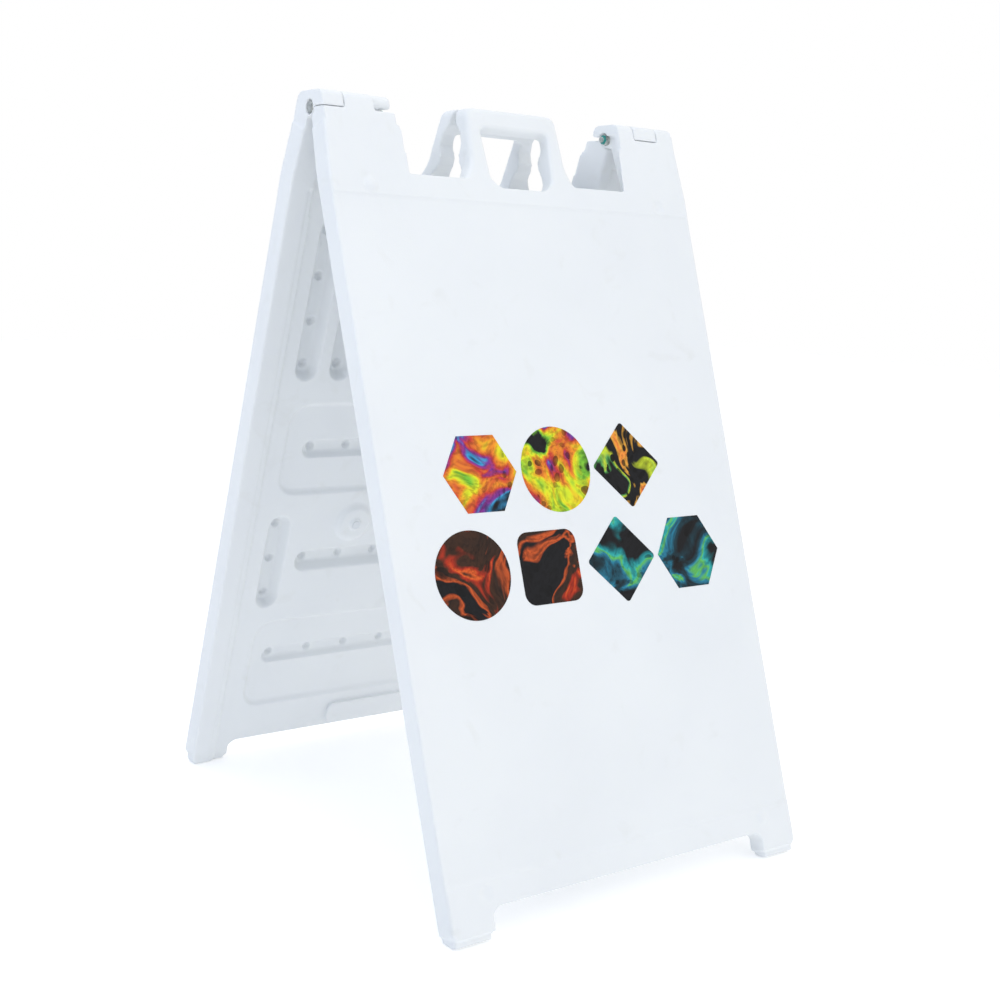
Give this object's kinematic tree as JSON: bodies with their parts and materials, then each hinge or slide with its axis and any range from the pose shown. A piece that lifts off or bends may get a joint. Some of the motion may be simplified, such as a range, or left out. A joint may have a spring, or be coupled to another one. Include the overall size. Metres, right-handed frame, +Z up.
{
  "type": "sandwich board",
  "caption": "Folding A-frame sidewalk sign of hollow moulded plastic panels hinged at the ears, with carry handles, feet and recessed sign fields.",
  "frame": {"origin": "centre of the footprint on the ground, board open", "axes": "+Z up, +X across the board to the right seen from the front, -Y towards the front panel's side"},
  "size_m": [0.635, 0.8262, 1.0664],
  "materials": {
    "panel_plastic": "satin moulded polyethylene",
    "plug_plastic": "satin",
    "zinc_steel": "zinc plated",
    "vinyl": "printed cut vinyl film"
  },
  "bodies": {
    "front": {"front_panel": "panel_plastic", "front_vent_plug": "plug_plastic", "right_hinge_bolt": "zinc_steel", "right_head_washer": "zinc_steel", "right_nut_washer": "zinc_steel", "right_lock_nut": "zinc_steel", "vinyl_upper_hexagon": "vinyl", "vinyl_upper_disc": "vinyl", "vinyl_upper_diamond": "vinyl", "vinyl_lower_disc": "vinyl", "vinyl_lower_tile": "vinyl", "vinyl_lower_diamond": "vinyl", "vinyl_lower_hexagon": "vinyl"},
    "rear": {"rear_panel": "panel_plastic", "rear_vent_plug": "plug_plastic", "left_hinge_bolt": "zinc_steel", "left_head_washer": "zinc_steel", "left_nut_washer": "zinc_steel", "left_lock_nut": "zinc_steel"}
  },
  "joints": [
    {"name": "fold", "type": "hinge", "parent": "front", "child": "rear", "pos_m": [0, 0, 1.04494], "axis": [-1, 0, 0], "range_deg": [0, 40]}
  ]
}
